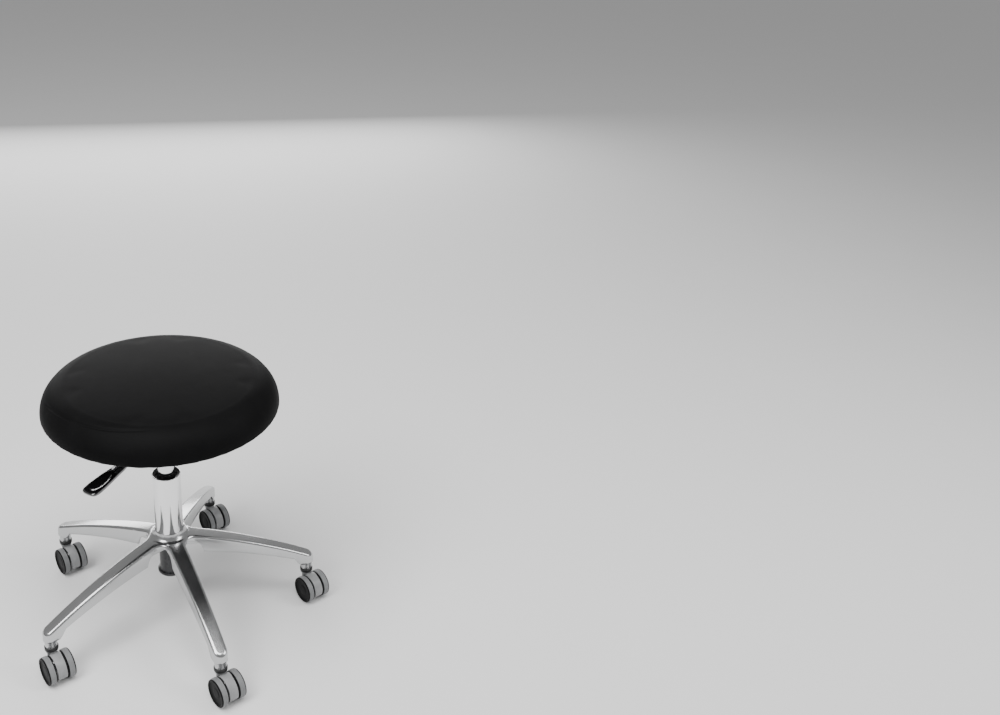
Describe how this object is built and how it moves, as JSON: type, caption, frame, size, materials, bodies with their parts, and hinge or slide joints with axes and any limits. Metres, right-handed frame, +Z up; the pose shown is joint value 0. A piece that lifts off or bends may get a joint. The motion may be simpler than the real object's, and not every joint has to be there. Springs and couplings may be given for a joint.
{
  "type": "dentist stool",
  "caption": "Round upholstered stool on a gas-lift column, with a height lever under the seat and a cast star base on swivelling twin-wheel casters.",
  "frame": {"origin": "on the floor, on the column's axis", "axes": "+Z up along the column; +X along arm 1 of the base; the lever points to 230 degrees, counted from +X towards +Y"},
  "size_m": [0.5156, 0.5396, 0.4875],
  "materials": {
    "polished_aluminium": "polished",
    "black_nylon": "satin",
    "chromed_steel": "mirror",
    "black_steel": "semi-gloss black",
    "zinc_steel": "bright zinc",
    "ground_steel": "ground",
    "piston_brass": "turned",
    "buffer_rubber": "matt",
    "black_plate": "satin black powder coat",
    "lever_plastic": "gloss moulded",
    "plywood": "raw birch plywood",
    "seat_foam": "open-cell foam",
    "leatherette": "fine-grained coated fabric",
    "hood_plastic": "satin",
    "wheel_plastic": "satin",
    "tread_rubber": "matt"
  },
  "bodies": {
    "base": {"base_casting": "polished_aluminium", "caster_collars": "black_nylon", "column_tube": "chromed_steel", "column_spigot": "black_steel", "column_bushing": "black_nylon", "thrust_race_lower": "zinc_steel", "thrust_balls": "zinc_steel", "caster_1_stem": "zinc_steel", "caster_2_stem": "zinc_steel", "caster_3_stem": "zinc_steel", "caster_4_stem": "zinc_steel", "caster_5_stem": "zinc_steel"},
    "lift_rod": {"piston_rod": "ground_steel", "piston": "piston_brass", "thrust_race_upper": "zinc_steel", "rubber_buffer": "buffer_rubber", "rod_clip": "zinc_steel"},
    "seat": {"gas_cylinder": "chromed_steel", "cylinder_seal": "black_nylon", "seat_plate": "black_plate", "plate_socket": "black_plate", "lever_pivot_pin": "zinc_steel", "plate_bolts": "zinc_steel", "tee_nuts": "zinc_steel", "seat_board": "plywood", "seat_foam": "seat_foam", "seat_cover": "leatherette"},
    "lever": {"lever_rod": "zinc_steel", "lever_grip": "lever_plastic"},
    "release": {"release_pin": "ground_steel"},
    "caster_1": {"caster_1_housing": "hood_plastic", "caster_1_axle": "zinc_steel"},
    "wheel_1_left": {"caster_1_wheel_left": "wheel_plastic", "caster_1_tread_left": "tread_rubber"},
    "wheel_1_right": {"caster_1_wheel_right": "wheel_plastic", "caster_1_tread_right": "tread_rubber"},
    "caster_2": {"caster_2_housing": "hood_plastic", "caster_2_axle": "zinc_steel"},
    "wheel_2_left": {"caster_2_wheel_left": "wheel_plastic", "caster_2_tread_left": "tread_rubber"},
    "wheel_2_right": {"caster_2_wheel_right": "wheel_plastic", "caster_2_tread_right": "tread_rubber"},
    "caster_3": {"caster_3_housing": "hood_plastic", "caster_3_axle": "zinc_steel"},
    "wheel_3_left": {"caster_3_wheel_left": "wheel_plastic", "caster_3_tread_left": "tread_rubber"},
    "wheel_3_right": {"caster_3_wheel_right": "wheel_plastic", "caster_3_tread_right": "tread_rubber"},
    "caster_4": {"caster_4_housing": "hood_plastic", "caster_4_axle": "zinc_steel"},
    "wheel_4_left": {"caster_4_wheel_left": "wheel_plastic", "caster_4_tread_left": "tread_rubber"},
    "wheel_4_right": {"caster_4_wheel_right": "wheel_plastic", "caster_4_tread_right": "tread_rubber"},
    "caster_5": {"caster_5_housing": "hood_plastic", "caster_5_axle": "zinc_steel"},
    "wheel_5_left": {"caster_5_wheel_left": "wheel_plastic", "caster_5_tread_left": "tread_rubber"},
    "wheel_5_right": {"caster_5_wheel_right": "wheel_plastic", "caster_5_tread_right": "tread_rubber"}
  },
  "joints": [
    {"name": "seat_swivel", "type": "hinge", "parent": "base", "child": "lift_rod", "pos_m": [0, 0, 0.09], "axis": [0, 0, 1], "continuous": true},
    {"name": "seat_lift", "type": "slide", "parent": "lift_rod", "child": "seat", "axis": [0, 0, 1], "range_m": [-0.03, 0.09]},
    {"name": "lever_pull", "type": "hinge", "parent": "seat", "child": "lever", "pos_m": [-0.02121, -0.02528, 0.383], "axis": [-0.766, 0.6428, 0], "range_deg": [0, 5.5], "stiffness_Nm_per_rad": 6, "springref_deg": -3.44},
    {"name": "release_press", "type": "slide", "parent": "seat", "child": "release", "axis": [0, 0, -1], "range_m": [0, 0.0035]},
    {"name": "caster_1_swivel", "type": "hinge", "parent": "base", "child": "caster_1", "pos_m": [0.25, 0, 0.05], "axis": [0, 0, 1], "continuous": true},
    {"name": "caster_1_roll_left", "type": "hinge", "parent": "caster_1", "child": "wheel_1_left", "pos_m": [0.25916, -0.01722, 0.025], "axis": [0.8829, 0.4695, 0], "continuous": true},
    {"name": "caster_1_roll_right", "type": "hinge", "parent": "caster_1", "child": "wheel_1_right", "pos_m": [0.25916, -0.01722, 0.025], "axis": [0.8829, 0.4695, 0], "continuous": true},
    {"name": "caster_2_swivel", "type": "hinge", "parent": "base", "child": "caster_2", "pos_m": [0.07725, 0.23776, 0.05], "axis": [0, 0, 1], "continuous": true},
    {"name": "caster_2_roll_left", "type": "hinge", "parent": "caster_2", "child": "wheel_2_left", "pos_m": [0.08641, 0.22055, 0.025], "axis": [0.8829, 0.4695, 0], "continuous": true},
    {"name": "caster_2_roll_right", "type": "hinge", "parent": "caster_2", "child": "wheel_2_right", "pos_m": [0.08641, 0.22055, 0.025], "axis": [0.8829, 0.4695, 0], "continuous": true},
    {"name": "caster_3_swivel", "type": "hinge", "parent": "base", "child": "caster_3", "pos_m": [-0.20225, 0.14695, 0.05], "axis": [0, 0, 1], "continuous": true},
    {"name": "caster_3_roll_left", "type": "hinge", "parent": "caster_3", "child": "wheel_3_left", "pos_m": [-0.1931, 0.12973, 0.025], "axis": [0.8829, 0.4695, 0], "continuous": true},
    {"name": "caster_3_roll_right", "type": "hinge", "parent": "caster_3", "child": "wheel_3_right", "pos_m": [-0.1931, 0.12973, 0.025], "axis": [0.8829, 0.4695, 0], "continuous": true},
    {"name": "caster_4_swivel", "type": "hinge", "parent": "base", "child": "caster_4", "pos_m": [-0.20225, -0.14695, 0.05], "axis": [0, 0, 1], "continuous": true},
    {"name": "caster_4_roll_left", "type": "hinge", "parent": "caster_4", "child": "wheel_4_left", "pos_m": [-0.1931, -0.16416, 0.025], "axis": [0.8829, 0.4695, 0], "continuous": true},
    {"name": "caster_4_roll_right", "type": "hinge", "parent": "caster_4", "child": "wheel_4_right", "pos_m": [-0.1931, -0.16416, 0.025], "axis": [0.8829, 0.4695, 0], "continuous": true},
    {"name": "caster_5_swivel", "type": "hinge", "parent": "base", "child": "caster_5", "pos_m": [0.07725, -0.23776, 0.05], "axis": [0, 0, 1], "continuous": true},
    {"name": "caster_5_roll_left", "type": "hinge", "parent": "caster_5", "child": "wheel_5_left", "pos_m": [0.08641, -0.25498, 0.025], "axis": [0.8829, 0.4695, 0], "continuous": true},
    {"name": "caster_5_roll_right", "type": "hinge", "parent": "caster_5", "child": "wheel_5_right", "pos_m": [0.08641, -0.25498, 0.025], "axis": [0.8829, 0.4695, 0], "continuous": true}
  ],
  "couplings": [
    {"joint": "release_press", "follows": "lever_pull", "m_per_rad": 0.033}
  ]
}
